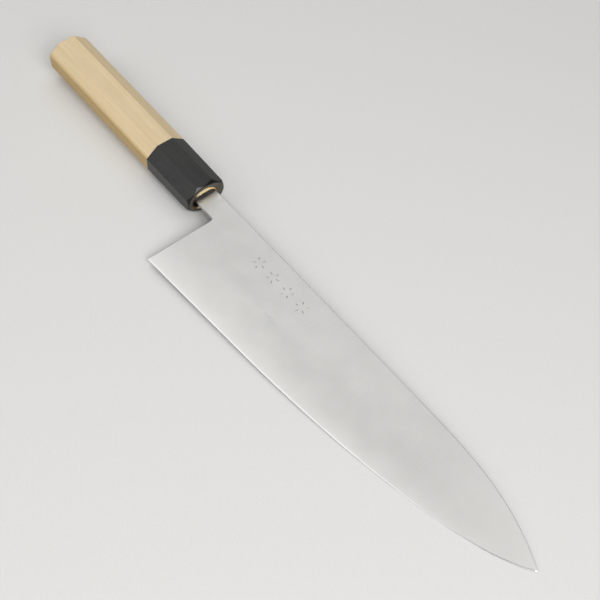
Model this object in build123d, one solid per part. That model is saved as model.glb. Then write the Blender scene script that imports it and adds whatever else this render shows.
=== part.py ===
"""Japanese chef knife (gyuto) with an octagonal two-piece handle, lying on its side.

Every piece is drawn about the handle's own axis: X runs from the butt towards the blade's tip,
with x = 0 at the front face of the ferrule, +Y points to the spine and the edge faces -Y.
Z is across the blade. At the end the whole knife is laid down as it rests on a level surface:
on the lower ridge of the ferrule and the belly of the edge, a little rolled and tip down. The
origin is then the centre of the underside of its box. All lengths are in millimetres.
"""
import os
from math import ceil

from build123d import *

# ---- driving dimensions -------------------------------------------------------------------
# blade
HEEL_X = 14.8               # the heel stands this far in front of the ferrule
TIP_X = 251.5               # heel to tip is 240 mm measured along the slanting edge
HEEL_Y = -47.4              # lowest point of the edge, at the heel
TIP_Y = -8.4
NECK_TOP_Y, NECK_BOTTOM_Y = 6.2, -6.35       # the bare neck between ferrule and heel
NECK_CORNER_RADIUS = 2.6    # inner corner between the neck and the heel
SPINE_RISE = 1.0            # the spine climbs this much from the ferrule to its highest point
SPINE_RISE_POWER = 1.5
SPINE_TOP_X = 165.0         # from here the spine curves down to the tip
SPINE_DROP_POWER = 2.9
EDGE_SLOPE = 0.058          # straight rear part of the edge
BELLY_X = 80.0              # from here the edge curves up
BELLY_RISE = 17.0           # even curve of the belly, over the whole front part
BELLY_POWER = 2.2
UPSWEEP_POWER = 9.9         # last quick rise into the tip
FLAT_START_X, FLAT_END_X = 214.5, 227.5      # straight run of the belly that the knife lies on
SPINE_THICKNESS = 2.4       # at the heel; it thins evenly and then quickly towards the tip
TAPER_START_POWER, TAPER_END_POWER = 1.4, 0.6
BEVEL_HEIGHT = 0.7          # sharpened bevel along the edge
BEVEL_THICKNESS = 0.24      # blade thickness behind the bevel
EDGE_THICKNESS = 0.03       # what the bevel leaves
OUTLINE_SPACING = 12.0      # largest distance between the points of the curved outlines
FLAT_SPACING = 3.3          # and between those on the straight run
GRIND_SPACING = 6.0         # and between those of the ground faces

# ornament chiselled in a row on the blade's upper side: small blossoms of five petals
MARK_START_X, MARK_PITCH, MARK_COUNT = 51.0, 11.2, 4
MARK_Y = -4.5
PETAL_COUNT = 5
PETAL_INNER, PETAL_OUTER = 1.0, 4.0          # where a petal starts and ends, from the centre
BLOSSOM_TURN = 16.0         # each blossom is turned this much further than the one behind it
STROKE_WIDTH, STROKE_DEPTH = 0.9, 0.14
STROKE_LIFT = 0.04          # the cutter's wide end stands this far above the ground face

# hidden tang
TANG_LENGTH = 100.0
TANG_END_HEIGHT = 6.0
TANG_END_THICKNESS = 1.8

# handle: flat-to-flat height of the octagon (along Y) at the butt, the joint and the front
HANDLE_LENGTH = 133.5
FERRULE_LENGTH = 37.0
BUTT_HEIGHT, JOINT_HEIGHT, FRONT_HEIGHT = 24.2, 23.9, 23.0
THICKNESS_RATIO = 0.812     # flat-to-flat thickness (along Z) over the height
BROAD_FLAT = 0.40           # width of the broad flats over the height
SIDE_FLAT = 0.42            # width of the top and bottom flats over the thickness
BUTT_CHAMFER = 0.9
MOUTH_HEIGHT, MOUTH_THICKNESS = 22.8, 17.6   # oval front face of the ferrule
MOUTH_FLARE = 0.7           # the turned nose widens this much per millimetre, going back
BORE_HEIGHT, BORE_THICKNESS = 15.9, 13.6     # oval bore of the ferrule, filled by the tenon
BORE_Y = -1.35              # the bore and the slot lie a little towards the edge side

# slot for the tang, and the resin that beds the tang in it
SLOT_HEIGHT, SLOT_WIDTH = 15.0, 8.3
SLOT_Y = -1.1
SLOT_END_HEIGHT, SLOT_END_WIDTH = 7.4, 3.4
SLOT_DEPTH = 104.0
BEDDING_RECESS = 3.0        # the resin stays this far below the mouth

# how the knife lies on a level surface, in degrees
REST_ROLL = 6.27            # edge side down
REST_PITCH = 1.85           # tip down

BEVEL_HALF = BEVEL_THICKNESS / 2
BLANK_HALF = SPINE_THICKNESS
BUTT_X = -HANDLE_LENGTH
JOINT_X = -FERRULE_LENGTH


def cross_plane(x):
    """Plane across the knife at x, with its own x axis along +Y and its own y axis along +Z."""
    return Plane(origin=(x, 0, 0), x_dir=(0, 1, 0), z_dir=(1, 0, 0))


# ---- blade --------------------------------------------------------------------------------
def spine_y(x):
    """Height of the spine line: a slight rise, then a smooth drop to the tip."""
    top = NECK_TOP_Y + SPINE_RISE
    if x <= SPINE_TOP_X:
        return top - SPINE_RISE * (1 - x / SPINE_TOP_X) ** SPINE_RISE_POWER
    run = (x - SPINE_TOP_X) / (TIP_X - SPINE_TOP_X)
    return top - (top - TIP_Y) * run ** SPINE_DROP_POWER


def edge_curve_y(x):
    """Height of the cutting edge as one even curve: straight behind, then belly and upsweep."""
    straight = HEEL_Y + EDGE_SLOPE * (x - HEEL_X)
    run = max(0.0, (x - BELLY_X) / (TIP_X - BELLY_X))
    upsweep = TIP_Y - HEEL_Y - EDGE_SLOPE * (TIP_X - HEEL_X) - BELLY_RISE
    return straight + BELLY_RISE * run ** BELLY_POWER + upsweep * run ** UPSWEEP_POWER


def edge_y(x):
    """Height of the cutting edge, with the short straight run that it lies on."""
    if not FLAT_START_X < x < FLAT_END_X:
        return edge_curve_y(x)
    run = (x - FLAT_START_X) / (FLAT_END_X - FLAT_START_X)
    return edge_curve_y(FLAT_START_X) * (1 - run) + edge_curve_y(FLAT_END_X) * run


def steps(start, end, spacing):
    """Evenly spaced values from start to end."""
    count = ceil((end - start) / spacing)
    return [start + (end - start) * i / count for i in range(count + 1)]


def spine_half(x):
    """Half of the blade's thickness at the spine."""
    run = min(1.0, max(0.0, (x - HEEL_X) / (TIP_X - HEEL_X)))
    taper = (1 - run ** TAPER_START_POWER) ** TAPER_END_POWER
    return BEVEL_HALF + (SPINE_THICKNESS / 2 - BEVEL_HALF) * taper


def ground_half(x, y):
    """Half thickness anywhere on the blade: convex, full at the spine and thin at the edge."""
    x = min(TIP_X, x)
    depth = max(0.0, spine_y(x) - y) / max(spine_y(x) - edge_y(max(x, HEEL_X)), BEVEL_HEIGHT)
    return BEVEL_HALF + (spine_half(x) - BEVEL_HALF) * max(0.0, 1 - depth ** 2)


def blade_outline():
    """Side view of the blade with its neck and the round inner corner behind the heel."""
    corner_x, corner_y = HEEL_X - NECK_CORNER_RADIUS, NECK_BOTTOM_Y - NECK_CORNER_RADIUS
    diagonal = NECK_CORNER_RADIUS * 0.5 ** 0.5
    behind = steps(HEEL_X, FLAT_START_X, OUTLINE_SPACING)
    flat = steps(FLAT_START_X, FLAT_END_X, FLAT_SPACING)
    ahead = steps(FLAT_END_X, TIP_X, OUTLINE_SPACING)
    return make_face([
        Spline(*[(x, spine_y(x)) for x in steps(0, TIP_X, OUTLINE_SPACING)]),
        Line((0, spine_y(0)), (0, NECK_BOTTOM_Y)),
        Line((0, NECK_BOTTOM_Y), (corner_x, NECK_BOTTOM_Y)),
        ThreePointArc(
            (corner_x, NECK_BOTTOM_Y),
            (corner_x + diagonal, corner_y + diagonal),
            (HEEL_X, corner_y),
        ),
        Line((HEEL_X, corner_y), (HEEL_X, HEEL_Y)),
        Spline(*[(x, edge_y(x)) for x in behind[:-1] + flat + ahead[1:]]),
    ])


def chisel_stroke(start, end):
    """One cut of the chisel: widest and deepest a third of the way along, tapering to both ends."""
    (x0, y0), (x1, y1) = start, end
    length = ((x1 - x0) ** 2 + (y1 - y0) ** 2) ** 0.5
    deep_x, deep_y = x0 + (x1 - x0) / 3, y0 + (y1 - y0) / 3
    across_x = -(y1 - y0) / length * STROKE_WIDTH / 2
    across_y = (x1 - x0) / length * STROKE_WIDTH / 2
    beside = [(deep_x + across_x, deep_y + across_y), (deep_x - across_x, deep_y - across_y)]
    corners = [start, beside[0], end, beside[1]]
    surface = ground_half(deep_x, deep_y)
    mouth = Pos(0, 0, surface + STROKE_LIFT) * make_face(Polyline(*corners, close=True))
    return loft([mouth, Vertex(deep_x, deep_y, surface - STROKE_DEPTH)])


def mark_strokes():
    """The strokes of the whole row: each blossom is a ring of petals, widest on the outside."""
    strokes = []
    for i in range(MARK_COUNT):
        centre = Vector(MARK_START_X + i * MARK_PITCH, MARK_Y)
        for petal in range(PETAL_COUNT):
            outwards = Vector(1, 0).rotate(Axis.Z, i * BLOSSOM_TURN + petal * 360 / PETAL_COUNT)
            outer, inner = centre + outwards * PETAL_OUTER, centre + outwards * PETAL_INNER
            strokes.append(chisel_stroke((outer.X, outer.Y), (inner.X, inner.Y)))
    return strokes


def is_edge_land(face):
    """True for the narrow face that follows the cutting edge from heel to tip."""
    centre, size = face.center(), face.bounding_box().size
    return size.X > TIP_X - HEEL_X - 1 and size.Z < SPINE_THICKNESS / 2 and centre.Y < TIP_Y


def make_blade():
    """The ground blade, its neck, and the tapered tang hidden in the handle."""
    margin = GRIND_SPACING
    face_points = [
        [Vector(x, y, ground_half(x, y)) for x in steps(-margin, TIP_X + margin, GRIND_SPACING)]
        for y in steps(HEEL_Y - margin, NECK_TOP_Y + SPINE_RISE + margin, GRIND_SPACING / 2)
    ]
    ground_face = Face.make_surface_from_array_of_points(face_points)
    ground_off = extrude(ground_face, 2 * BLANK_HALF, dir=(0, 0, 1))
    blank = Pos(0, 0, -BLANK_HALF) * extrude(blade_outline(), 2 * BLANK_HALF)
    blade = blank - ground_off - mirror(ground_off, about=Plane.XY)
    edge_land = blade.faces().filter_by(is_edge_land)[0]
    bevelled = edge_land.edges().filter_by(lambda edge: edge.length > TIP_X - HEEL_X)
    blade = chamfer(bevelled, BEVEL_HALF - EDGE_THICKNESS / 2, BEVEL_HEIGHT, reference=edge_land)
    tang = loft([
        blade.faces().sort_by(Axis.X)[0],
        cross_plane(-TANG_LENGTH) * Rectangle(TANG_END_HEIGHT, TANG_END_THICKNESS),
    ])
    return blade + tang - mark_strokes()


# ---- handle -------------------------------------------------------------------------------
def octagon_corners(x, height):
    """Corners of the octagon across the handle at x: broad flats face +-Z, side flats +-Y."""
    y_far, z_far = height / 2, THICKNESS_RATIO * height / 2
    y_near, z_near = BROAD_FLAT * y_far, SIDE_FLAT * z_far
    quarter = [(y_far, z_near), (y_near, z_far)]
    half = quarter + [(-y, z) for y, z in reversed(quarter)]
    return [Vector(x, y, z) for y, z in half + [(-y, -z) for y, z in half]]


def tapered_octagon(x_rear, rear_height, x_front, front_height):
    """Solid with flat facets between two octagons of the same proportions."""
    rear, front = octagon_corners(x_rear, rear_height), octagon_corners(x_front, front_height)
    facets = [[rear[i - 1], rear[i], front[i], front[i - 1]] for i in range(len(rear))]
    faces = [Face(Wire.make_polygon(corners)) for corners in [*facets, rear, front]]
    return Solid(Shell(faces))


def make_tang_slot():
    """Tapered slot with round ends that the tang goes into."""
    return loft([
        cross_plane(0) * Pos(SLOT_Y, 0) * SlotOverall(SLOT_HEIGHT, SLOT_WIDTH),
        cross_plane(-SLOT_DEPTH) * SlotOverall(SLOT_END_HEIGHT, SLOT_END_WIDTH),
    ])


def make_bore():
    """Oval bore of the ferrule, which the tenon fills."""
    place = cross_plane(JOINT_X) * Pos(BORE_Y, 0)
    oval = place * Ellipse(BORE_HEIGHT / 2, BORE_THICKNESS / 2)
    return extrude(oval, FERRULE_LENGTH)


def make_handle_body():
    """Wooden body: octagonal grip with a turned tenon that reaches the ferrule's mouth."""
    grip = tapered_octagon(BUTT_X, BUTT_HEIGHT, JOINT_X, JOINT_HEIGHT)
    butt_rim = grip.faces().sort_by(Axis.X)[0].edges()
    grip = chamfer(butt_rim, BUTT_CHAMFER)
    return grip + make_bore() - make_tang_slot()


def make_ferrule():
    """Horn ferrule: the octagon carried on, with a turned oval nose, bored for the tenon."""
    sleeve = tapered_octagon(JOINT_X, JOINT_HEIGHT, 0, FRONT_HEIGHT)
    growth = MOUTH_FLARE * FERRULE_LENGTH
    nose = loft([
        cross_plane(0) * Ellipse(MOUTH_HEIGHT / 2, MOUTH_THICKNESS / 2),
        cross_plane(JOINT_X) * Ellipse(MOUTH_HEIGHT / 2 + growth, MOUTH_THICKNESS / 2 + growth),
    ])
    return (sleeve & nose) - make_bore()


def make_tang_bedding(blade):
    """Set resin between the tang and the walls of the slot."""
    mouth = cross_plane(-BEDDING_RECESS) * Rectangle(2 * SLOT_HEIGHT, 2 * SLOT_WIDTH)
    return make_tang_slot() - extrude(mouth, BEDDING_RECESS) - blade


# ---- assembly -----------------------------------------------------------------------------
def make_knife():
    """All pieces by node name, about the handle's own axis."""
    blade = make_blade()
    return {
        "blade": blade,
        "handle_body": make_handle_body(),
        "ferrule": make_ferrule(),
        "tang_bedding": make_tang_bedding(blade),
    }


def main():
    """Lays the knife down, puts the origin under the middle of its box and writes the pieces."""
    lying = Rot(0, REST_PITCH, 0) * Rot(REST_ROLL, 0, 0)
    pieces = {name: lying * piece for name, piece in make_knife().items()}
    box = Compound(list(pieces.values())).bounding_box()
    underside_centre = Vector(box.center().X, box.center().Y, box.min.Z)
    os.makedirs("parts", exist_ok=True)
    for name, piece in pieces.items():
        export_step(Pos(-underside_centre) * piece, f"parts/{name}.step")
    print("underside centre before the move:", underside_centre)
    print("size:", box.size)


if __name__ == "__main__":
    main()
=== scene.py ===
"""Looks of the chef knife: a Japanese gyuto with an octagonal magnolia handle and a horn ferrule.

The pieces are drawn about the handle's own axis, in millimetres: X from the butt to the tip with
x = 0 at the ferrule's front face, +Y to the spine, Z across the blade. LYING then puts each of
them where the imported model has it, rolled and tip down as the knife rests on a level floor.
"""

import math

import bpy
import numpy as np
from mathutils import Matrix, Vector
from mathutils.geometry import delaunay_2d_cdt


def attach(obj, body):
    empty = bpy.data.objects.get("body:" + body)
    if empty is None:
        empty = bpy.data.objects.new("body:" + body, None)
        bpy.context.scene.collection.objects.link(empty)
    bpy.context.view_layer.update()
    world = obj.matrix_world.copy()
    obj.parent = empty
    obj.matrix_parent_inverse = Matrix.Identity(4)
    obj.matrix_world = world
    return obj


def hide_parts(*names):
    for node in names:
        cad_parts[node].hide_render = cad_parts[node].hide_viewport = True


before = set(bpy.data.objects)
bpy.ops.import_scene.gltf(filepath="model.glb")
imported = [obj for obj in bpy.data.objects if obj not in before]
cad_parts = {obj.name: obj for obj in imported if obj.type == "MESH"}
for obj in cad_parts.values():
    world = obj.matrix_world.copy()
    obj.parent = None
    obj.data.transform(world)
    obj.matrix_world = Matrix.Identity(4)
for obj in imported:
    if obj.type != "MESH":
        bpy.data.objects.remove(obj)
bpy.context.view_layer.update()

# ---- driving dimensions, millimetres and degrees ------------------------------------------
MM = 0.001
REST_ROLL, REST_PITCH = 6.27, 1.85
UNDERSIDE_CENTRE = Vector((58.8035, -17.321, -9.74036))

HEEL_X, TIP_X = 14.8, 251.5
HEEL_Y, TIP_Y = -47.4, -8.4
NECK_TOP_Y, NECK_BOTTOM_Y = 6.2, -6.35
NECK_CORNER_RADIUS = 2.6
SPINE_RISE, SPINE_RISE_POWER = 1.0, 1.5
SPINE_TOP_X, SPINE_DROP_POWER = 165.0, 2.9
EDGE_SLOPE = 0.058
BELLY_X, BELLY_RISE, BELLY_POWER = 80.0, 17.0, 2.2
UPSWEEP_POWER = 9.9
FLAT_START_X, FLAT_END_X = 214.5, 227.5      # straight run of the belly that the knife lies on
SPINE_THICKNESS = 2.4
TAPER_START_POWER, TAPER_END_POWER = 1.4, 0.6
BEVEL_HEIGHT, BEVEL_HALF, EDGE_HALF = 0.7, 0.12, 0.015
EASE_RADIUS = 0.32          # the spine, the choil and the neck have eased edges
EASE_SHARE = 0.8            # the easing takes at most this much of the half thickness
TIP_CLIMB = -0.6            # slope taken for the spine at the very tip
TANG_LENGTH, TANG_END_HEIGHT, TANG_END_THICKNESS = 100.0, 6.0, 1.8

MARK_START_X, MARK_PITCH, MARK_COUNT, MARK_Y = 51.0, 11.2, 4, -4.5
PETAL_COUNT, PETAL_INNER, PETAL_OUTER = 5, 1.0, 4.0
BLOSSOM_TURN = 16.0
STROKE_WIDTH, STROKE_DEPTH, STROKE_LIFT = 0.9, 0.14, 0.04
STROKE_CLEARANCE = 0.75     # the mesh round a petal starts this far from its middle line

HANDLE_LENGTH, FERRULE_LENGTH = 133.5, 37.0
BUTT_HEIGHT, JOINT_HEIGHT, FRONT_HEIGHT = 24.2, 23.9, 23.0
THICKNESS_RATIO, BROAD_FLAT, SIDE_FLAT = 0.812, 0.40, 0.42
MOUTH_HALF_HEIGHT, MOUTH_HALF_THICKNESS, MOUTH_FLARE = 11.4, 8.8, 0.7
BORE_HEIGHT, BORE_THICKNESS, BORE_Y = 15.9, 13.6, -1.35
JOINT_GAP = 0.02            # half the fine line between the tenon and the horn
SLOT_HEIGHT, SLOT_WIDTH, SLOT_Y = 15.0, 8.3, -1.1
SLOT_END_HEIGHT, SLOT_END_WIDTH, SLOT_DEPTH = 7.4, 3.4, 104.0

LYING = (
    Matrix.Translation(-UNDERSIDE_CENTRE * MM)
    @ Matrix.Rotation(math.radians(REST_PITCH), 4, "Y")
    @ Matrix.Rotation(math.radians(REST_ROLL), 4, "X")
)


# ---- meshes -------------------------------------------------------------------------------
class Shape:
    """Points in millimetres and faces, each with its material's place and its corners' normals."""

    def __init__(self):
        self.points, self.faces, self.kinds, self.normals = [], [], [], []

    def add(self, points):
        """Adds points and returns the place of the first one."""
        first = len(self.points)
        self.points.extend(tuple(float(c) for c in p) for p in points)
        return first

    def face(self, corners, kind=0, normals=None):
        """Adds a face. Without normals, its corners take the face's own."""
        corners = list(corners)
        if normals is None:
            a, b, c = (np.array(self.points[i]) for i in (corners[0], corners[1], corners[-1]))
            flat = np.cross(b - a, c - a)
            if len(corners) == 4:
                d = np.array(self.points[corners[2]])
                flat = np.cross(d - a, c - b)
            size = np.linalg.norm(flat)
            flat = flat / size if size > 0 else np.array([0.0, 0.0, 1.0])
            normals = [flat] * len(corners)
        self.faces.append(corners)
        self.kinds.append(kind)
        self.normals.extend(tuple(n) for n in normals)


UV_LENGTH = 100             # millimetres of the knife over one unit of the UV map


def make_object(name, shape, materials):
    """Blender object of a shape, with its points where the CAD model has them.

    The UV map lies along the handle's X and Y. No material here reads it.
    """
    mesh = bpy.data.meshes.new(name)
    mesh.from_pydata([LYING @ (Vector(p) * MM) for p in shape.points], [], shape.faces)
    for material in materials:
        mesh.materials.append(material)
    mesh.polygons.foreach_set("material_index", shape.kinds)
    mesh.polygons.foreach_set("use_smooth", [True] * len(shape.faces))
    uv_map = mesh.uv_layers.new(name="UVMap")
    corners = [shape.points[i] for face in shape.faces for i in face]
    uv_map.data.foreach_set("uv", [c / UV_LENGTH for point in corners for c in point[:2]])
    turn = LYING.to_3x3()
    mesh.normals_split_custom_set([turn @ Vector(n) for n in shape.normals])
    mesh.update()
    piece = bpy.data.objects.new(name, mesh)
    bpy.context.scene.collection.objects.link(piece)
    return piece


def smooth_min(a, b, width):
    """The smaller of two values, with the crease between them rounded over width."""
    blend = np.maximum(width - np.abs(a - b), 0) / width
    return np.minimum(a, b) - blend * blend * width / 4


# ---- blade --------------------------------------------------------------------------------
def spine_y(x):
    """Height of the spine line: a slight rise, then a smooth drop to the tip."""
    top = NECK_TOP_Y + SPINE_RISE
    if x <= SPINE_TOP_X:
        return top - SPINE_RISE * (1 - x / SPINE_TOP_X) ** SPINE_RISE_POWER
    run = (x - SPINE_TOP_X) / (TIP_X - SPINE_TOP_X)
    return top - (top - TIP_Y) * run**SPINE_DROP_POWER


def edge_curve_y(x):
    """Cutting edge as one even curve: straight behind, then the belly and the upsweep."""
    straight = HEEL_Y + EDGE_SLOPE * (x - HEEL_X)
    run = max(0.0, (x - BELLY_X) / (TIP_X - BELLY_X))
    upsweep = TIP_Y - HEEL_Y - EDGE_SLOPE * (TIP_X - HEEL_X) - BELLY_RISE
    return straight + BELLY_RISE * run**BELLY_POWER + upsweep * run**UPSWEEP_POWER


def edge_y(x):
    """Height of the cutting edge, with the short straight run that it lies on."""
    if not FLAT_START_X < x < FLAT_END_X:
        return edge_curve_y(x)
    run = (x - FLAT_START_X) / (FLAT_END_X - FLAT_START_X)
    return edge_curve_y(FLAT_START_X) * (1 - run) + edge_curve_y(FLAT_END_X) * run


def ground_half(x, y):
    """Half thickness of the convex ground blade, before its edges are eased."""
    run = min(1.0, max(0.0, (x - HEEL_X) / (TIP_X - HEEL_X)))
    taper = (1 - run**TAPER_START_POWER) ** TAPER_END_POWER
    at_spine = BEVEL_HALF + (SPINE_THICKNESS / 2 - BEVEL_HALF) * taper
    depth = max(0.0, spine_y(x) - y) / max(spine_y(x) - edge_y(max(x, HEEL_X)), BEVEL_HEIGHT)
    return BEVEL_HALF + (at_spine - BEVEL_HALF) * max(0.0, 1 - depth**2)


def eased_edge(x, y):
    """Distance from the nearest eased edge of the outline, and the way out of the blade there."""
    step = 0.01
    climb = TIP_CLIMB
    if x < TIP_X - step:
        climb = (spine_y(x + step) - spine_y(x - step)) / (2 * step)
    length = math.hypot(climb, 1)
    ways = [((spine_y(x) - y) / length, (-climb / length, 1 / length))]
    corner_x, corner_y = HEEL_X - NECK_CORNER_RADIUS, NECK_BOTTOM_Y - NECK_CORNER_RADIUS
    if x < corner_x:
        ways.append((y - NECK_BOTTOM_Y, (0.0, -1.0)))
    elif y > corner_y:
        reach = max(math.hypot(x - corner_x, y - corner_y), 1e-6)
        ways.append((reach - NECK_CORNER_RADIUS, ((corner_x - x) / reach, (corner_y - y) / reach)))
    else:
        ways.append((x - HEEL_X, (-1.0, 0.0)))
    distance, way = min(ways)
    return max(distance, 0.0), way


def blade_surface(x, y):
    """Half thickness and outward normal of the ground and eased face at a point of it."""
    step = 0.02
    half = ground_half(x, y)
    slope_x = (ground_half(x + step, y) - ground_half(x - step, y)) / (2 * step)
    slope_y = (ground_half(x, y + step) - ground_half(x, y - step)) / (2 * step)
    if x > TIP_X - 4 * step:
        slope_x = 0.0
    normal = np.array([-slope_x, -slope_y, 1.0])
    normal /= np.linalg.norm(normal)
    distance, way = eased_edge(x, y)
    radius = min(EASE_RADIUS, EASE_SHARE * half)
    if distance < radius:
        lean = 1 - distance / radius
        rise = math.sqrt(max(0.0, 1 - lean * lean))
        half -= radius * (1 - rise)
        normal = np.array([way[0] * lean, way[1] * lean, 0.0]) + normal * rise
        normal /= np.linalg.norm(normal)
    return half, normal


EASE_STEPS = [0.0, 0.02, 0.06, 0.12, 0.2, 0.32]      # rows and columns over an eased edge
EASE_BAND = EASE_STEPS[-1]
UPPER_ROWS, LOWER_ROWS = 12, 26     # above the neck's lower edge, and below it
NECK_COLUMNS, BODY_COLUMNS, TIP_COLUMNS = 9, 118, 28
PAST_HEEL_STEPS = (0.6, 1.0, 1.6)    # the next columns in front of the heel's eased edge
BODY_START = 2.5            # evenly spaced columns start this far in front of the heel
TIP_REACH = 20              # and end this far behind the tip, where they draw together
TIP_SPACING_POWER = 1.6
BAND_SHARE, BEVEL_SHARE = 0.12, 0.3          # near the tip, the most of a column's height


def blade_rows():
    """How far down from the spine each row of the blade's face lies, in millimetres at the heel."""
    depth = spine_y(HEEL_X) - (NECK_BOTTOM_Y - NECK_CORNER_RADIUS)
    upper = np.linspace(EASE_BAND, depth - EASE_BAND, UPPER_ROWS + 1)[1:-1]
    rows = [*EASE_STEPS, *upper, *(depth - d for d in reversed(EASE_STEPS))]
    split = len(rows) - 1
    full = spine_y(HEEL_X) - HEEL_Y - BEVEL_HEIGHT
    below = np.linspace(depth, full, LOWER_ROWS + 1)[1:]
    return [*rows, *below], split


def blade_columns():
    """Places of the neck's columns, and of the blade's own from the heel to just short of the tip."""
    corner_x = HEEL_X - NECK_CORNER_RADIUS
    arc = [corner_x + NECK_CORNER_RADIUS * math.sin(math.radians(a)) for a in range(0, 91, 6)]
    neck = [*np.linspace(0, corner_x, NECK_COLUMNS)[:-1], *arc]
    body = [HEEL_X + d for d in (*EASE_STEPS, *PAST_HEEL_STEPS)]
    body += list(np.linspace(HEEL_X + BODY_START, TIP_X - TIP_REACH, BODY_COLUMNS))
    runs = np.linspace(0, 1, TIP_COLUMNS)[1:-1]
    body += [TIP_X - TIP_REACH * (1 - t) ** TIP_SPACING_POWER for t in runs]
    return neck, body


def neck_heights(x, rows, split):
    """Y of each row in a column of the neck: both eased bands keep their own width."""
    top, below = spine_y(x), NECK_BOTTOM_Y
    corner_x = HEEL_X - NECK_CORNER_RADIUS
    if x > corner_x:
        arc = math.sqrt(max(0.0, NECK_CORNER_RADIUS**2 - (x - corner_x) ** 2))
        below += arc - NECK_CORNER_RADIUS
    drawn = rows[split]
    middle = (top - below - 2 * EASE_BAND) / (drawn - 2 * EASE_BAND)
    heights = []
    for row in rows[: split + 1]:
        if row <= EASE_BAND:
            heights.append(top - row)
        elif row >= drawn - EASE_BAND:
            heights.append(below + drawn - row)
        else:
            heights.append(top - EASE_BAND - (row - EASE_BAND) * middle)
    return heights


def column_heights(x, rows, split):
    """Y of each row in the column at x: the eased band and the bevel keep their own widths."""
    if x < HEEL_X - 1e-9:
        return neck_heights(x, rows, split)
    top = spine_y(x)
    reach = top - edge_y(x)
    band = min(EASE_BAND, BAND_SHARE * reach)
    bevel = min(BEVEL_HEIGHT, BEVEL_SHARE * reach)
    middle = (reach - band - bevel) / (rows[-1] - EASE_BAND)
    heights = []
    for row in rows:
        if row <= EASE_BAND:
            heights.append(top - row * band / EASE_BAND)
        else:
            heights.append(top - band - (row - EASE_BAND) * middle)
    return heights


def stroke_outlines():
    """The petals as they open on the surface: four rim corners each, and the deepest point."""
    strokes = []
    opening = STROKE_DEPTH / (STROKE_DEPTH + STROKE_LIFT)
    for i in range(MARK_COUNT):
        centre = np.array([MARK_START_X + i * MARK_PITCH, MARK_Y])
        for petal in range(PETAL_COUNT):
            turn = math.radians(i * BLOSSOM_TURN + petal * 360 / PETAL_COUNT)
            way = np.array([math.cos(turn), math.sin(turn)])
            outer, inner = centre + way * PETAL_OUTER, centre + way * PETAL_INNER
            deep = outer + (inner - outer) / 3
            across = np.array([way[1], -way[0]]) * STROKE_WIDTH / 2
            rim = [outer, deep + across, inner, deep - across]
            strokes.append(([deep + (corner - deep) * opening for corner in rim], deep))
    return strokes


def distance_to_line(point, start, end):
    """Distance from a point to the straight line between two others."""
    along = end - start
    part = np.clip(np.dot(point - start, along) / np.dot(along, along), 0, 1)
    return np.linalg.norm(point - start - along * part)


STEEL, BEVEL, CHISELLED, SCALE = 0, 1, 2, 3
PATCH_X = (45.5, 89.5)      # the part of the blade's face that holds the ornament
PATCH_Y = (-9.6, 0.6)
PATCH_ROWS_X = 70.0         # the rows that lie in it are counted here
PATCH_MARGIN_X, PATCH_MARGIN_Y = 2.0, 1.5
PATCH_END_MARGIN = 1.0
PATCH_SPACING_X, PATCH_SPACING_Y = 2.2, 1.7
FILL_INSIDE, FILL_CLOSENESS = 1, 1e-6        # for the triangulation
PETAL_CORNERS = 4


def patch_points():
    """Points to mesh the patch with, clear of the petals."""
    rims = [corners for corners, _ in stroke_outlines()]
    points = []
    for x in np.arange(PATCH_X[0] + PATCH_MARGIN_X, PATCH_X[1] - PATCH_END_MARGIN, PATCH_SPACING_X):
        for y in np.arange(PATCH_Y[0] + PATCH_MARGIN_Y, PATCH_Y[1] - PATCH_END_MARGIN, PATCH_SPACING_Y):
            place = np.array([x, y])
            clear = min(distance_to_line(place, rim[0], rim[2]) for rim in rims)
            if clear > STROKE_CLEARANCE:
                points.append((x, y))
    return points


def add_patch(shape, ring):
    """Fills the ring of grid points around the ornament with triangles, petals cut in."""
    flat = [shape.points[i][:2] for i in ring]
    count = len(ring)
    edges = [(i, (i + 1) % count) for i in range(count)]
    deeps = set()
    for corners, deep in stroke_outlines():
        first = len(flat)
        middle = first + PETAL_CORNERS
        flat += [tuple(c) for c in corners]
        flat.append(tuple(deep))
        edges += [(first + i, first + (i + 1) % PETAL_CORNERS) for i in range(PETAL_CORNERS)]
        edges += [(first + i, middle) for i in range(PETAL_CORNERS)]
        deeps.add(middle)
    flat += patch_points()
    found = delaunay_2d_cdt(
        [Vector(p) for p in flat], edges, [list(range(count))], FILL_INSIDE, FILL_CLOSENESS
    )
    points, triangles = found[0], found[2]
    origins = [source[0] if source else -1 for source in found[3]]
    places = []
    for point, origin in zip(points, origins):
        if 0 <= origin < count:
            places.append(ring[origin])
            continue
        half = blade_surface(point.x, point.y)[0]
        if origin in deeps:
            half -= STROKE_DEPTH
        places.append(shape.add([(point.x, point.y, half)]))
    for triangle in triangles:
        a, b, c = (points[i] for i in triangle)
        if (b - a).cross(c - a) < 0:
            triangle = triangle[::-1]
        corners = [places[i] for i in triangle]
        if any(origins[i] in deeps for i in triangle):
            shape.face(corners, CHISELLED)
        else:
            normals = [blade_surface(*shape.points[i][:2])[1] for i in corners]
            shape.face(corners, STEEL, normals)


TANG_SECTIONS = (-3.0, -20.0, -45.0, -70.0, -90.0, -TANG_LENGTH)


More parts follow.
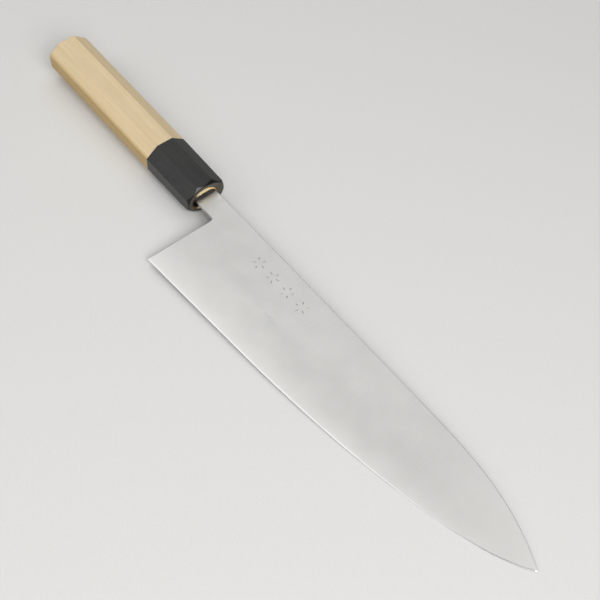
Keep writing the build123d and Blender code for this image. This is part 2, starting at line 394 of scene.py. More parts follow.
def add_tang(shape, previous):
    """Carries the neck's section back and shrinks it to the tang's end."""
    section = [shape.points[i] for i in previous]
    count = len(section)
    middle = (NECK_TOP_Y + NECK_BOTTOM_Y) / 2
    thick = max(p[2] for p in section)
    for x in TANG_SECTIONS:
        t = -x / TANG_LENGTH
        height = 1 + t * (TANG_END_HEIGHT / (NECK_TOP_Y - NECK_BOTTOM_Y) - 1)
        width = 1 + t * (TANG_END_THICKNESS / 2 / thick - 1)
        first = shape.add(
            (x, middle * (1 - t) + (p[1] - middle) * height, p[2] * width) for p in section
        )
        ring = list(range(first, first + count))
        for k in range(count):
            m = (k + 1) % count
            shape.face([previous[k], ring[k], ring[m], previous[m]], SCALE)
        previous = ring
    shape.face(previous[::-1], SCALE)


def make_blade():
    """The whole blade with its neck and tang as one closed mesh."""
    shape = Shape()
    rows, split = blade_rows()
    neck, body = blade_columns()
    columns = neck[:-1] + body
    heel = len(neck) - 1
    grid, table = {}, {}
    for side in (1, -1):
        for i, x in enumerate(columns):
            heights = column_heights(x, rows, split)
            for j, y in enumerate(heights):
                half, normal = blade_surface(x, y)
                grid[side, i, j] = shape.add([(x, y, side * half)])
                table[side, i, j] = (normal[0], normal[1], side * normal[2])
            if i >= heel:
                grid[side, i, len(rows)] = shape.add([(x, edge_y(x), side * EDGE_HALF)])
    last = len(columns) - 1
    edge_row, bevel_row = len(rows), len(rows) - 1
    tip = shape.add([(TIP_X, TIP_Y, 0)])

    # cells under the ornament are left out on the upper side, and filled by the patch
    heights = column_heights(PATCH_ROWS_X, rows, split)
    inside_rows = [j for j, y in enumerate(heights) if PATCH_Y[0] <= y <= PATCH_Y[1]]
    inside_columns = [i for i, x in enumerate(columns) if PATCH_X[0] <= x <= PATCH_X[1]]
    j0, j1 = inside_rows[0], inside_rows[-1]
    i0, i1 = inside_columns[0], inside_columns[-1]

    def quad(side, a, b, c, d, kind, smooth=True):
        corners = [a, b, c, d] if side > 0 else [d, c, b, a]
        places = [grid[(side, *k)] for k in corners]
        normals = [table[(side, *k)] for k in corners] if smooth else None
        shape.face(places, kind, normals)

    for side in (1, -1):
        for i in range(last):
            for j in range(split if i < heel else bevel_row):
                if side > 0 and i0 <= i < i1 and j0 <= j < j1:
                    continue
                quad(side, (i, j), (i, j + 1), (i + 1, j + 1), (i + 1, j), STEEL)
            if i >= heel:
                quad(side, (i, bevel_row), (i, edge_row), (i + 1, edge_row), (i + 1, bevel_row), BEVEL, False)
        for j in range(edge_row):
            corners = [grid[side, last, j], grid[side, last, j + 1], tip]
            kind = BEVEL if j == bevel_row else STEEL
            shape.face(corners if side > 0 else corners[::-1], kind)
    ring = [grid[1, i, j0] for i in range(i1, i0, -1)]
    ring += [grid[1, i0, j] for j in range(j0, j1)]
    ring += [grid[1, i, j1] for i in range(i0, i1)]
    ring += [grid[1, i1, j] for j in range(j1, j0, -1)]
    add_patch(shape, ring)

    def wall(cells, kind=STEEL):
        for a, b in cells:
            keys = [(1, *a), (1, *b), (-1, *b), (-1, *a)]
            normals = [table[k] for k in keys] if kind == STEEL else None
            shape.face([grid[k] for k in keys], kind, normals)

    wall(((i, 0), (i + 1, 0)) for i in range(last))
    wall(((i + 1, split), (i, split)) for i in range(heel))
    wall(((heel, j + 1), (heel, j)) for j in range(split, bevel_row))
    wall([((heel, edge_row), (heel, bevel_row))], BEVEL)
    wall((((i + 1, edge_row), (i, edge_row)) for i in range(heel, last)), BEVEL)
    shape.face([grid[1, last, 0], tip, grid[-1, last, 0]], STEEL)
    shape.face([tip, grid[1, last, edge_row], grid[-1, last, edge_row]], BEVEL)

    loop = [(1, j) for j in range(split + 1)]
    loop += [(-1, j) for j in range(split, -1, -1)]
    add_tang(shape, [grid[side, 0, j] for side, j in loop])
    return shape


# ---- handle -------------------------------------------------------------------------------
def facet_planes():
    """Each facet's direction round the axis from +Y, and its distance over the octagon's height."""
    flat_y, flat_z = 0.5, THICKNESS_RATIO / 2
    drop_y, drop_z = flat_y * (1 - BROAD_FLAT), flat_z * (1 - SIDE_FLAT)
    slant = math.atan2(drop_y, drop_z)
    oblique = flat_y * math.cos(slant) + flat_z * SIDE_FLAT * math.sin(slant)
    planes = [(0, flat_y), (math.pi, flat_y), (math.pi / 2, flat_z), (-math.pi / 2, flat_z)]
    return planes + [(a, oblique) for a in (slant, math.pi - slant, math.pi + slant, -slant)]


def ridge_angles():
    """Angles from +Y of the octagon's eight ridges."""
    first = math.atan2(SIDE_FLAT * THICKNESS_RATIO, 1)
    second = math.atan2(THICKNESS_RATIO, BROAD_FLAT)
    quarter = [first, second, math.pi - second, math.pi - first]
    return quarter + [a + math.pi for a in quarter]


def height_at(x):
    """Height of the octagon at x."""
    if x < -FERRULE_LENGTH:
        run = (x + HANDLE_LENGTH) / (HANDLE_LENGTH - FERRULE_LENGTH)
        return BUTT_HEIGHT + (JOINT_HEIGHT - BUTT_HEIGHT) * run
    run = (x + FERRULE_LENGTH) / FERRULE_LENGTH
    return JOINT_HEIGHT + (FRONT_HEIGHT - JOINT_HEIGHT) * run


FAR_AWAY = 1e3
LEAST_FACING = 0.3          # a facet counts only for the angles that it faces this much
RIDGE_PARTING = 0.83        # how fast two facets part, over the distance round from their ridge
RIDGE_STEPS = (-1.2, -0.8, -0.5, -0.25, 0, 0.25, 0.5, 0.8, 1.2)      # over the softened width


def octagon_radii(angles, height, inset, softness):
    """Distances from the axis to the octagon, moved in by inset, with softened ridges."""
    radii = np.full(len(angles), FAR_AWAY)
    for direction, distance in facet_planes():
        facing = np.cos(angles - direction)
        reach = (distance * height - inset) / np.maximum(facing, LEAST_FACING)
        radii = smooth_min(radii, np.where(facing > LEAST_FACING, reach, FAR_AWAY), softness)
    return radii


def section_angles(softness, flat_steps):
    """Angles to draw a section at: close together over each softened ridge, few on the flats."""
    spread = softness / RIDGE_PARTING / (JOINT_HEIGHT / 2)
    ridges = ridge_angles()
    angles = []
    for ridge, following in zip(ridges, ridges[1:] + [ridges[0] + 2 * math.pi]):
        angles += [ridge + spread * t for t in RIDGE_STEPS]
        start = ridge + RIDGE_STEPS[-1] * spread
        end = following - RIDGE_STEPS[-1] * spread
        angles += list(np.linspace(start, end, flat_steps + 1)[1:-1])
    return np.array(angles)


def ring_at(x, angles, radii):
    """Points of one section. A single radius makes it a circle, and x may differ around it."""
    xs, radii = np.broadcast_to(x, angles.shape), np.broadcast_to(radii, angles.shape)
    return np.stack([xs, radii * np.cos(angles), radii * np.sin(angles)], axis=1)


def oval_radii(angles, half_height, half_thickness, centre=0.0):
    """Distances from the axis to an oval whose middle may be off the axis along Y."""
    cosine, sine = np.cos(angles), np.sin(angles)
    a = (cosine / half_height) ** 2 + (sine / half_thickness) ** 2
    b = -cosine * centre / half_height**2
    c = (centre / half_height) ** 2 - 1
    return (np.sqrt(b * b - a * c) - b) / a


def bore_radii(angles, outwards):
    """Distances from the axis to the wall of the ferrule's bore, moved outwards."""
    return oval_radii(angles, BORE_HEIGHT / 2 + outwards, BORE_THICKNESS / 2 + outwards, BORE_Y)


def slot_radii(angles, height, width, centre):
    """Distances from the axis to the wall of the tang slot, which has round ends."""
    end, reach = width / 2, (height - width) / 2
    cosine, sine = np.cos(angles), np.sin(angles)
    beside = end / np.maximum(np.abs(sine), 1e-6)
    middle = np.clip(beside * cosine, centre - reach, centre + reach)
    round_end = middle * cosine + np.sqrt(np.maximum(end**2 - (middle * sine) ** 2, 0))
    return np.where(middle == beside * cosine, beside, round_end)


def add_groups(shape, groups, closed=False):
    """Joins rings of points into one skin, in order: forward outside, in, and back inside.

    Each group is smooth in itself, and it starts on the last ring of the group before it. A closed
    skin's last ring is its first one again.
    """
    previous, opening = None, None
    for number, (kind, rings) in enumerate(groups):
        places = []
        if previous is not None:
            places.append(previous)
            rings = [np.array([shape.points[i] for i in previous]), *rings]
        for ring in rings[len(places):]:
            if closed and number == len(groups) - 1 and len(places) == len(rings) - 1:
                places.append(opening)
                continue
            first = shape.add(ring)
            places.append(list(range(first, first + len(ring))))
            opening = opening or places[0]
        points = np.array(rings)
        around = np.roll(points, -1, axis=1) - np.roll(points, 1, axis=1)
        normals = np.cross(around, np.gradient(points, axis=0))
        normals /= np.maximum(np.linalg.norm(normals, axis=2, keepdims=True), 1e-9)
        count = len(places[0])
        for i in range(len(places) - 1):
            for k in range(count):
                keys = [(i, k), (i, (k + 1) % count), (i + 1, (k + 1) % count), (i + 1, k)]
                shape.face([places[a][b] for a, b in keys], kind, [normals[key] for key in keys])
        previous = places[-1]
    return previous


WOOD, END_GRAIN, SCORCHED, TENON_END = 0, 1, 2, 3
WOOD_SOFTNESS, HORN_SOFTNESS = 0.2, 0.12     # width that the octagon's ridges are softened over
WOOD_FLAT_STEPS, HORN_FLAT_STEPS = 11, 20    # points across each flat

# distance from the piece's end, and how far the section is drawn in there
BUTT_PROFILE = (
    (0, 1.05), (0.03, 0.93), (0.1, 0.83), (0.3, 0.62), (0.55, 0.37),
    (0.8, 0.13), (0.92, 0.05), (1.1, 0.01), (1.4, 0),
)
JOINT_PROFILE = ((0.3, 0), (0.16, 0.01), (0.06, 0.06), (0, 0.16))

BODY_BACK, BODY_FRONT, BODY_SECTIONS = 2, 0.8, 28    # between the two eased ends
TENON_SECTIONS = (-FERRULE_LENGTH, -20, -2, -0.3, -0.1)
TENON_EASE = 0.06
TENON_RIM_X, TENON_FACE_X = -0.02, -0.03
BURNT_WANDER, BURNT_WAVES = 0.03, range(3, 22)       # the slot's rim is burnt this much untrue
BURNT_INSET = 0.3           # charred crust that narrows the slot's mouth
BURNT_LEAST_WALL = 0.25
BURNT_EASE = 0.1
FULL_TURN = 6.28
SLOT_SECTIONS = (-1.5, -4, -15, -40, -70, -SLOT_DEPTH + 0.5, -SLOT_DEPTH)


def burnt_rim(angles, tenon_radii):
    """Distances from the axis to the slot's rim, which the hot tang has burnt a little untrue."""
    generator = np.random.default_rng(11)
    wander = 0
    for waves in BURNT_WAVES:
        size = generator.normal(0, BURNT_WANDER)
        wander = wander + size * np.cos(waves * angles + generator.uniform(0, FULL_TURN))
    mouth = slot_radii(angles, SLOT_HEIGHT - BURNT_INSET, SLOT_WIDTH - BURNT_INSET, SLOT_Y)
    return np.minimum(mouth + wander, tenon_radii - BURNT_LEAST_WALL)


def make_handle_body():
    """Wooden grip, its tenon, and the burnt-in slot for the tang."""
    shape = Shape()
    angles = section_angles(WOOD_SOFTNESS, WOOD_FLAT_STEPS)

    def grip_ring(x, inset):
        return ring_at(x, angles, octagon_radii(angles, height_at(x), inset, WOOD_SOFTNESS))

    butt = [grip_ring(-HANDLE_LENGTH + back, inset) for back, inset in BUTT_PROFILE]
    end_face = [butt[0] * (1, t, t) for t in (0.01, 0.25, 0.5, 0.75, 0.92)]
    end_face.append(butt[0])
    joint = [grip_ring(-FERRULE_LENGTH - back, inset) for back, inset in JOINT_PROFILE]
    body_x = np.linspace(-HANDLE_LENGTH + BODY_BACK, -FERRULE_LENGTH - BODY_FRONT, BODY_SECTIONS)
    body = [grip_ring(x, 0) for x in body_x]
    tenon_radii = bore_radii(angles, -JOINT_GAP)
    eased_radii = tenon_radii - TENON_EASE
    tenon = [ring_at(x, angles, tenon_radii) for x in TENON_SECTIONS]
    shoulder = ring_at(-FERRULE_LENGTH, angles, tenon_radii + 0.5)
    rim = ring_at(TENON_RIM_X, angles, eased_radii)

    burnt = burnt_rim(angles, tenon_radii)
    front = []
    for t in (0.3, 0.6, 0.8, 0.92):
        front.append(ring_at(TENON_FACE_X, angles, eased_radii * (1 - t) + (burnt + BURNT_EASE) * t))
    slot = [ring_at(-0.12, angles, burnt), ring_at(-0.5, angles, burnt + 0.05)]
    for x in SLOT_SECTIONS:
        t = -x / SLOT_DEPTH
        height = SLOT_HEIGHT + (SLOT_END_HEIGHT - SLOT_HEIGHT) * t
        width = SLOT_WIDTH + (SLOT_END_WIDTH - SLOT_WIDTH) * t
        slot.append(ring_at(x, angles, slot_radii(angles, height, width, SLOT_Y * (1 - t))))
    bottom = [slot[-1] * (1, t, t) for t in (0.6, 0.3, 0.01)]

    centre = add_groups(shape, [
        (END_GRAIN, end_face),
        (WOOD, [*butt[1:], *body, *joint]),
        (END_GRAIN, [shoulder, tenon[0]]),
        (WOOD, tenon[1:]),
        (TENON_END, [rim, *front]),
        (SCORCHED, slot),
        (SCORCHED, bottom),
    ])
    shape.face(centre, SCORCHED)
    shape.face(list(range(len(angles)))[::-1], END_GRAIN)
    return shape


HORN, HORN_FACE, HORN_RIM = 0, 1, 2
RIM_EASE = 0.34             # the turned nose is rounded over this length behind the front face
RIM_DEPTH = 0.75            # and by this much of it towards the axis
SLEEVE_BACK, SLEEVE_SECTIONS = 1, 11
NOSE_START, NOSE_SECTIONS = 4.8, 26          # sections lie closer along the turned nose
SLEEVE_FRONT = 5
BORE_SECTIONS = (-0.06, -1, -20, -FERRULE_LENGTH)
BORE_EASE = 0.05


def make_ferrule():
    """Horn ferrule: octagonal sleeve, turned oval nose, dark rim, filed front face and bore."""
    shape = Shape()
    angles = section_angles(HORN_SOFTNESS, HORN_FLAT_STEPS)

    def nose(x):
        growth = -MOUTH_FLARE * x
        return oval_radii(angles, MOUTH_HALF_HEIGHT + growth, MOUTH_HALF_THICKNESS + growth)

    def sleeve_ring(x, inset=0.0):
        radii = octagon_radii(angles, height_at(x), inset, HORN_SOFTNESS)
        return ring_at(x, angles, smooth_min(radii, nose(x), HORN_SOFTNESS))

    rear = [sleeve_ring(-FERRULE_LENGTH + back, inset) for back, inset in reversed(JOINT_PROFILE)]
    sleeve_x = np.linspace(-FERRULE_LENGTH + SLEEVE_BACK, -SLEEVE_FRONT, SLEEVE_SECTIONS)
    sleeve = [sleeve_ring(x) for x in sleeve_x]
    cone = [sleeve_ring(x) for x in np.linspace(-NOSE_START, -RIM_EASE, NOSE_SECTIONS)]
    rim = []
    for t in (0.2, 0.45, 0.7, 0.88, 0.97, 1.0):
        x = -RIM_EASE * (1 - t)
        inside = RIM_DEPTH * RIM_EASE * (1 - math.sqrt(1 - t * t))
        radii = np.minimum(octagon_radii(angles, height_at(x), 0, HORN_SOFTNESS), nose(x))
        rim.append(ring_at(x, angles, radii - inside))
    last = np.hypot(rim[-1][:, 1], rim[-1][:, 2])
    bored = bore_radii(angles, JOINT_GAP)
    face = []
    for t in (0.04, 0.35, 0.7, 1):
        face.append(ring_at(0, angles, last * (1 - t) + (bored + BORE_EASE) * t))
    bore = [ring_at(x, angles, bored) for x in BORE_SECTIONS]
    add_groups(shape, [
        (HORN, [bore[-1], rear[0]]),
        (HORN, [*rear[1:], *sleeve, *cone]),
        (HORN_RIM, rim),
        (HORN_FACE, face),
        (HORN, bore),
    ], closed=True)
    return shape


# ---- materials ----------------------------------------------------------------------------
class Nodes:
    """Short hand for building one material's nodes. Textures use the handle's own axes, in metres."""

    def __init__(self, name):
        self.material = bpy.data.materials.new(name)
        self.material.use_nodes = True
        self.tree = self.material.node_tree
        self.shader = self.tree.nodes["Principled BSDF"]
        upright = self.tree.nodes.new("ShaderNodeMapping")
        upright.vector_type = "TEXTURE"
        upright.inputs["Location"].default_value = LYING.to_translation()
        upright.inputs["Rotation"].default_value = LYING.to_euler()
        self.link(self.tree.nodes.new("ShaderNodeTexCoord").outputs["Object"], upright.inputs["Vector"])
        self.place = upright.outputs["Vector"]

    def link(self, output, target):
        self.tree.links.new(output, target)

    def stretched(self, scale, shift=(0, 0, 0)):
        """The handle's coordinates times scale, plus shift."""
        node = self.tree.nodes.new("ShaderNodeMapping")
        node.inputs["Scale"].default_value = scale
        node.inputs["Location"].default_value = shift
        self.link(self.place, node.inputs["Vector"])
        return node.outputs["Vector"]

    def noise(self, scale, detail=2.0, roughness=0.5, distortion=0.0, shift=(0, 0, 0)):
        """Noise from 0 to 1, with so many waves per metre along each axis."""
        node = self.tree.nodes.new("ShaderNodeTexNoise")
        node.inputs["Scale"].default_value = 1.0
        node.inputs["Detail"].default_value = detail
        node.inputs["Roughness"].default_value = roughness
        node.inputs["Distortion"].default_value = distortion
        self.link(self.stretched(scale, shift), node.inputs["Vector"])
        return node.outputs["Fac"]

    def span(self, value, low, high, to_low=0.0, to_high=1.0):
        """Maps value from low..high to to_low..to_high, clamped."""
        node = self.tree.nodes.new("ShaderNodeMapRange")
        for key, number in (("From Min", low), ("From Max", high), ("To Min", to_low), ("To Max", to_high)):
            node.inputs[key].default_value = number
        self.link(value, node.inputs["Value"])
        return node.outputs["Result"]

    def maths(self, operation, a, b):
        """One sum on two values, each an output or a number."""
        node = self.tree.nodes.new("ShaderNodeMath")
        node.operation = operation
        for value, socket in ((a, node.inputs[0]), (b, node.inputs[1])):
            if isinstance(value, (int, float)):
                socket.default_value = value
            else:
                self.link(value, socket)
        return node.outputs["Value"]

    def mixed(self, amount, first, second, how="MIX"):
        """Mixes two colours, each an output or a triple, by amount."""
        node = self.tree.nodes.new("ShaderNodeMix")
        node.data_type, node.blend_type = "RGBA", how
        if isinstance(amount, (int, float)):
            node.inputs["Factor"].default_value = amount
        else:
            self.link(amount, node.inputs["Factor"])
        for value, socket in ((first, node.inputs[6]), (second, node.inputs[7])):
            if isinstance(value, tuple):
                socket.default_value = (*value, 1)
            else:
                self.link(value, socket)
        return node.outputs[2]

    def bump(self, height, depth, previous=None):
        """Raises the surface by height times depth in metres."""
        node = self.tree.nodes.new("ShaderNodeBump")
        node.inputs["Strength"].default_value = 1.0
        node.inputs["Distance"].default_value = depth
        self.link(height, node.inputs["Height"])
        if previous is not None:
            self.link(previous, node.inputs["Normal"])
        return node.outputs["Normal"]

    def finish(self, colour, roughness, normal=None, **numbers):
        """Links the colour, roughness and normal, and sets the shader's other numbers."""
        for value, key in ((colour, "Base Color"), (roughness, "Roughness"), (normal, "Normal")):
            if isinstance(value, (int, float)):
                self.shader.inputs[key].default_value = value
            elif value is not None:
                self.link(value, self.shader.inputs[key])
        for key, number in numbers.items():
            self.shader.inputs[key.replace("_", " ")].default_value = number
        return self.material

    def attribute(self, name):
        """A value stored at the mesh's points."""
        node = self.tree.nodes.new("ShaderNodeAttribute")
        node.attribute_name = name
        return node.outputs["Fac"]

    def fade(self, axis, start, end, most=1.0):
        """From 0 at start to most at end, in millimetres along one of the handle's axes."""
        node = self.tree.nodes.new("ShaderNodeSeparateXYZ")
        self.link(self.place, node.inputs[0])
        return self.span(node.outputs[axis], start * MM, end * MM, 0, most)


STEEL_COLOUR, BEVEL_COLOUR = (0.607, 0.604, 0.589), (0.73, 0.725, 0.71)
EDGE_REFLECTION_FADE = 0.90            # what is left of the painted reflection along the edge, a millimetre further from it
# painted reflection: how much lighter the blade is painted at its edge and at its tip
EDGE_REFLECTION_TONE, TIP_REFLECTION_TONE = 1.25, 1.3
TIP_REFLECTION_START, TIP_REFLECTION_AMOUNT = 185.0, 0.6      # painted reflection: the blade is painted brighter from here to the tip
NECK_PAINTED_LIGHT = (0.92, 0.92, 0.90)
NECK_LIGHT_FADE = (7.0, 0.5)      # painted light: the neck is painted brighter from the first x to the second
MOUTH_PAINTED_SHADE = (0.025, 0.032, 0.055)
MOUTH_SHADE_FADE = (0.7, -0.4)    # and painted shade, dark from here to here, inside the ferrule's mouth
HAIRLINE_DEPTH = 0.0000022


def toned(colour, factor):
    """A colour made lighter or darker."""
    return tuple(min(1, c * factor) for c in colour)


def steel(name, colour, roughness, streaks=1.0):
    """Satin steel, with hairlines that run from the spine to the edge, painted reflection near the edge and
    tip, painted light on the neck and painted shade inside the ferrule's mouth.
    """
    n = Nodes(name)
    hairline = n.noise((6500, 90, 90), 3, 0.6)
    coarse = n.noise((1500, 45, 45), 2, 0.5, shift=(3.1, 0, 0))
    cloud = n.noise((70, 90, 90), 3, 0.55)
    lines = n.maths("ADD", n.maths("MULTIPLY", hairline, 0.6), n.maths("MULTIPLY", coarse, 0.4))
    metal = n.mixed(n.span(lines, 0.32, 0.68), toned(colour, 0.93), toned(colour, 1.05))
    metal = n.mixed(n.span(cloud, 0.35, 0.68, 0, 0.5), metal, toned(colour, 0.94))
    # painted light: the neck is painted brighter towards the ferrule
    metal = n.mixed(n.fade("X", *NECK_LIGHT_FADE), metal, NECK_PAINTED_LIGHT)
    # painted shade: the steel inside the ferrule's mouth is painted dark
    metal = n.mixed(n.fade("X", *MOUTH_SHADE_FADE), metal, MOUTH_PAINTED_SHADE)
    # painted reflection, brighter towards the tip and near the edge
    tip_reflection = n.maths("MULTIPLY", n.fade("X", TIP_REFLECTION_START, TIP_X), TIP_REFLECTION_AMOUNT)
    metal = n.mixed(tip_reflection, metal, toned(colour, TIP_REFLECTION_TONE))
    edge_reflection = n.maths("POWER", EDGE_REFLECTION_FADE, n.attribute("above_edge"))
    metal = n.mixed(edge_reflection, metal, toned(colour, EDGE_REFLECTION_TONE))
    uneven = 0.05 * streaks
    lined = n.span(lines, 0.3, 0.7, roughness - uneven, roughness + uneven)
    rough = n.maths("ADD", lined, n.span(cloud, 0.3, 0.7, -0.025, 0.025))
    normal = n.bump(lines, HAIRLINE_DEPTH * streaks)
    return n.finish(metal, rough, normal, Metallic=1.0, Anisotropic=0.35)


def chiselled_steel():
    """Cut metal in the petals, a little darker than the ground face."""
    n = Nodes("chiselled_steel")
    grain = n.noise((2500, 2500, 2500), 2)
    metal = n.mixed(n.span(grain, 0.3, 0.7), (0.42, 0.415, 0.40), (0.60, 0.595, 0.58))
    rough = n.span(grain, 0.3, 0.7, 0.36, 0.5)
    return n.finish(metal, rough, n.bump(grain, 0.00001), Metallic=1.0)


def forge_scale():
    """Dull dark skin left on the tang."""
    n = Nodes("forge_scale")
    scale = n.noise((600, 900, 900), 5, 0.65)
    skin = n.mixed(n.span(scale, 0.3, 0.7), (0.07, 0.065, 0.06), (0.22, 0.2, 0.18))
    rough = n.span(scale, 0.3, 0.7, 0.5, 0.8)
    return n.finish(skin, rough, n.bump(scale, 0.00004), Metallic=0.7)


EDGE_SIDE_SHADE_TINT = (0.80, 0.71, 0.50)
EDGE_SIDE_SHADE_FADE = (-10.4, -11.8)     # painted shade: the wood is painted darker and yellower on its edge side, along Y


def magnolia_wood():
    """Pale, straight and close grained, with fine fibres, open pores and a few duller bands, and painted
    shade on its edge side.
    """
    n = Nodes("magnolia_wood")
    rings = n.noise((9, 260, 210), 4, 0.55, 0.25)
    bands = n.noise((5, 95, 80), 2, 0.5, 0.4, (2, 5, 1))
    fibres = n.noise((260, 5200, 5200), 3, 0.6)
    pores = n.noise((420, 7800, 7800), 1, 0.4, shift=(1, 2, 3))
    patch = n.noise((38, 60, 60), 2)
    wood = n.mixed(n.span(rings, 0.34, 0.66), (0.72, 0.575, 0.36), (0.60, 0.465, 0.275))
    wood = n.mixed(n.span(bands, 0.52, 0.72, 0, 0.45), wood, (0.53, 0.43, 0.28))
    wood = n.mixed(n.span(patch, 0.3, 0.7, 0, 0.22), wood, (0.76, 0.62, 0.42))
    wood = n.mixed(n.span(fibres, 0.36, 0.66, 0, 0.28), wood, (0.50, 0.385, 0.225))
    wood = n.mixed(n.span(pores, 0.66, 0.74, 0, 0.4), wood, (0.36, 0.26, 0.14))
    # painted shade on the edge side's facets
    shaded_wood = n.mixed(1.0, wood, EDGE_SIDE_SHADE_TINT, "MULTIPLY")
    wood = n.mixed(n.fade("Y", *EDGE_SIDE_SHADE_FADE), wood, shaded_wood)
    rough = n.span(fibres, 0.3, 0.7, 0.52, 0.64)
    normal = n.bump(fibres, 0.000022, n.bump(rings, 0.00005))
    return n.finish(wood, rough, normal)


def magnolia_end_grain():
    """The same rings cut across, with open pores."""
    n = Nodes("magnolia_end_grain")
    rings = n.noise((9, 260, 210), 4, 0.55, 0.25)
    dots = n.noise((3000, 3600, 3600), 2)
    end = n.mixed(n.span(rings, 0.34, 0.66), (0.76, 0.60, 0.34), (0.60, 0.44, 0.23))
    end = n.mixed(n.span(dots, 0.5, 0.68, 0, 0.45), end, (0.33, 0.2, 0.09))
    return n.finish(end, n.span(dots, 0.3, 0.7, 0.62, 0.78), n.bump(dots, 0.00003))


SCORCH_FADE, TENON_SHADE_FADE = (1.5, 4.2, 0.75), (-4.9, -6.6)      # along Y: scorch towards the spine, painted shade towards the edge


def tenon_end_grain():
    """The tenon's end round the slot: orange towards the spine, painted dark brown with shade towards the
    edge.
    """
    n = Nodes("tenon_end_grain")
    dots = n.noise((3000, 2200, 3600), 2)
    end = n.mixed(n.span(dots, 0.36, 0.66), (0.80, 0.64, 0.38), (0.58, 0.43, 0.22))
    end = n.mixed(n.fade("Y", *SCORCH_FADE), end, (0.66, 0.36, 0.12))
    # painted shade, dark brown towards the edge
    end = n.mixed(n.fade("Y", *TENON_SHADE_FADE), end, (0.075, 0.038, 0.018))
    return n.finish(end, n.span(dots, 0.3, 0.7, 0.6, 0.75), n.bump(dots, 0.00003))


def scorched_wood():
    """Charred wall of the slot, almost without sheen."""
    n = Nodes("scorched_wood")
    char = n.noise((900, 900, 900), 4, 0.6)
    soot = n.mixed(n.span(char, 0.4, 0.62), (0.004, 0.005, 0.010), (0.020, 0.016, 0.018))
    return n.finish(soot, n.span(char, 0.3, 0.7, 0.6, 0.85), n.bump(char, 0.00008), IOR=1.12)


def buffalo_horn():
    """Black, with long smoky streaks and fine polishing lines."""
    n = Nodes("buffalo_horn")
    smoke = n.noise((22, 190, 190), 4, 0.6, 0.6)
    threads = n.noise((60, 1500, 1500), 3, 0.6, 0.3)
    polish = n.noise((3800, 500, 500), 2)
    horn = n.mixed(n.span(smoke, 0.42, 0.72), (0.006, 0.0068, 0.007), (0.017, 0.017, 0.0155))
    horn = n.mixed(n.span(threads, 0.52, 0.78, 0, 0.6), horn, (0.028, 0.025, 0.019))
    polished = n.span(polish, 0.3, 0.7, 0.26, 0.36)
    rough = n.maths("ADD", polished, n.span(smoke, 0.3, 0.7, -0.03, 0.04))
    normal = n.bump(polish, 0.0000025, n.bump(threads, 0.000004))
    return n.finish(horn, rough, normal, IOR=1.42)


def horn_front_face():
    """Filed front face, with the horn's layers in olive grey."""
    n = Nodes("horn_front_face")
    layers = n.noise((600, 300, 1900), 4, 0.65, 1.2)
    specks = n.noise((2600, 2600, 2600), 2)
    face = n.mixed(n.span(layers, 0.34, 0.66), (0.012, 0.013, 0.010), (0.118, 0.115, 0.082))
    face = n.mixed(n.span(specks, 0.5, 0.7, 0, 0.5), face, (0.035, 0.033, 0.028))
    return n.finish(face, n.span(layers, 0.3, 0.7, 0.5, 0.66), n.bump(layers, 0.00003))


def horn_rim():
    """Thin black line round the front face."""
    n = Nodes("horn_rim")
    polish = n.noise((900, 900, 900), 2)
    rim = n.mixed(n.span(polish, 0.3, 0.7), (0.004, 0.004, 0.004), (0.01, 0.01, 0.01))
    return n.finish(rim, n.span(polish, 0.3, 0.7, 0.3, 0.4), n.bump(polish, 0.000003), IOR=1.35)


def bedding_resin():
    """Dark brown lumpy resin."""
    n = Nodes("bedding_resin")
    lumps = n.noise((500, 700, 700), 4, 0.6)
    resin = n.mixed(n.span(lumps, 0.35, 0.65), (0.012, 0.009, 0.008), (0.042, 0.028, 0.020))
    return n.finish(resin, n.span(lumps, 0.3, 0.7, 0.45, 0.7), n.bump(lumps, 0.0001), IOR=1.3)


# ---- pieces -------------------------------------------------------------------------------
blade_shape = make_blade()
blade = make_object("ground_blade", blade_shape, [
    steel("satin_steel", STEEL_COLOUR, 0.42),
    steel("honed_bevel", BEVEL_COLOUR, 0.3, 0.6),
    chiselled_steel(),
    forge_scale(),
])
above_edge = blade.data.attributes.new("above_edge", "FLOAT", "POINT")
heights = [y - edge_y(max(x, HEEL_X)) for x, y, _ in blade_shape.points]
above_edge.data.foreach_set("value", heights)
grip = make_object("magnolia_grip", make_handle_body(), [
    magnolia_wood(),
    magnolia_end_grain(),
    scorched_wood(),
    tenon_end_grain(),
])
ferrule = make_object("horn_ferrule", make_ferrule(), [
    buffalo_horn(),
    horn_front_face(),
    horn_rim(),
])
for piece, node, slot in (
    (blade, "blade", "blade_steel"),
    (grip, "handle_body", "magnolia_wood"),
    (ferrule, "ferrule", "buffalo_horn"),
):
    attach(piece, "root")
    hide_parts(node)
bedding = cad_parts["tang_bedding"]
bedding.data.materials.clear()
bedding.data.materials.append(bedding_resin())


# ---- floor, light and camera --------------------------------------------------------------
FLOOR_REACH = 6.0


def make_floor():
    """Plain pale floor under the knife."""
    mesh = bpy.data.meshes.new("floor")
    around = ((-1, -1), (1, -1), (1, 1), (-1, 1))
    corners = [(x * FLOOR_REACH, y * FLOOR_REACH, 0) for x, y in around]
    mesh.from_pydata(corners, [], [(0, 1, 2, 3)])
    n = Nodes("pale_floor")
    speckle = n.noise((900, 900, 900), 2)
    n.finish(n.mixed(n.span(speckle, 0.3, 0.7), (0.65, 0.645, 0.63), (0.67, 0.665, 0.65)), 0.6)
    mesh.materials.append(n.material)
    floor = bpy.data.objects.new("floor", mesh)
    bpy.context.scene.collection.objects.link(floor)


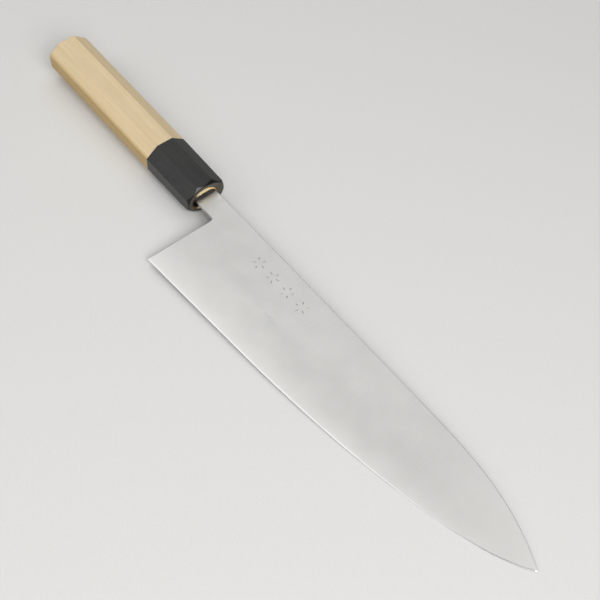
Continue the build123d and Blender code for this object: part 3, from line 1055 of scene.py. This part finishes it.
def add_softbox(name, place, width, height, radiance):
    """Rectangular soft light at place, turned to the knife, of that even brightness."""
    light = bpy.data.lights.new(name, "AREA")
    light.shape, light.size, light.size_y = "RECTANGLE", width, height
    light.energy = radiance * math.pi * width * height
    lamp = bpy.data.objects.new(name, light)
    lamp.location = place
    lamp.rotation_euler = (-Vector(place)).to_track_quat("-Z", "Y").to_euler()
    bpy.context.scene.collection.objects.link(lamp)


# name, place, width, height and radiance
SOFTBOXES = (
    ("key_softbox", (1.15, -0.45, 1.1), 1.2, 1.0, 7.0),
    ("overhead_softbox", (-0.6, 0.4, 1.4), 1.8, 2.0, 1.0),
    ("side_softbox", (-0.6, -1.2, 0.95), 1.2, 0.9, 1.75),
)
ROOM_COLOUR, ROOM_STRENGTH = (1, 0.98, 0.95, 1), 0.13


def make_world():
    """Faint even light from all round, and colours shown without a film curve."""
    world = bpy.data.worlds.new("studio")
    world.use_nodes = True
    background = world.node_tree.nodes["Background"]
    background.inputs["Color"].default_value = ROOM_COLOUR
    background.inputs["Strength"].default_value = ROOM_STRENGTH
    bpy.context.scene.world = world
    bpy.context.scene.view_settings.view_transform = "Standard"


CAMERA_PLACE = Vector((0.25836, -0.24257, 0.43082))
CAMERA_AIM = Vector((0.02308, 0.01376, 0.010))
CAMERA_ROLL = math.radians(10.22)
FOCAL_LENGTH, SENSOR_WIDTH = 66.72, 36.0


def make_camera():
    """Camera high over the tip's edge side, a little rolled."""
    lens = bpy.data.cameras.new("camera")
    lens.lens, lens.sensor_width = FOCAL_LENGTH, SENSOR_WIDTH
    lens.clip_start, lens.clip_end = 0.01, 20
    camera = bpy.data.objects.new("camera", lens)
    turn = (CAMERA_AIM - CAMERA_PLACE).to_track_quat("-Z", "Y").to_matrix().to_4x4()
    camera.matrix_world = Matrix.Translation(CAMERA_PLACE) @ turn @ Matrix.Rotation(CAMERA_ROLL, 4, "Z")
    bpy.context.scene.collection.objects.link(camera)
    bpy.context.scene.camera = camera


make_floor()
for softbox in SOFTBOXES:
    add_softbox(*softbox)
make_world()
make_camera()
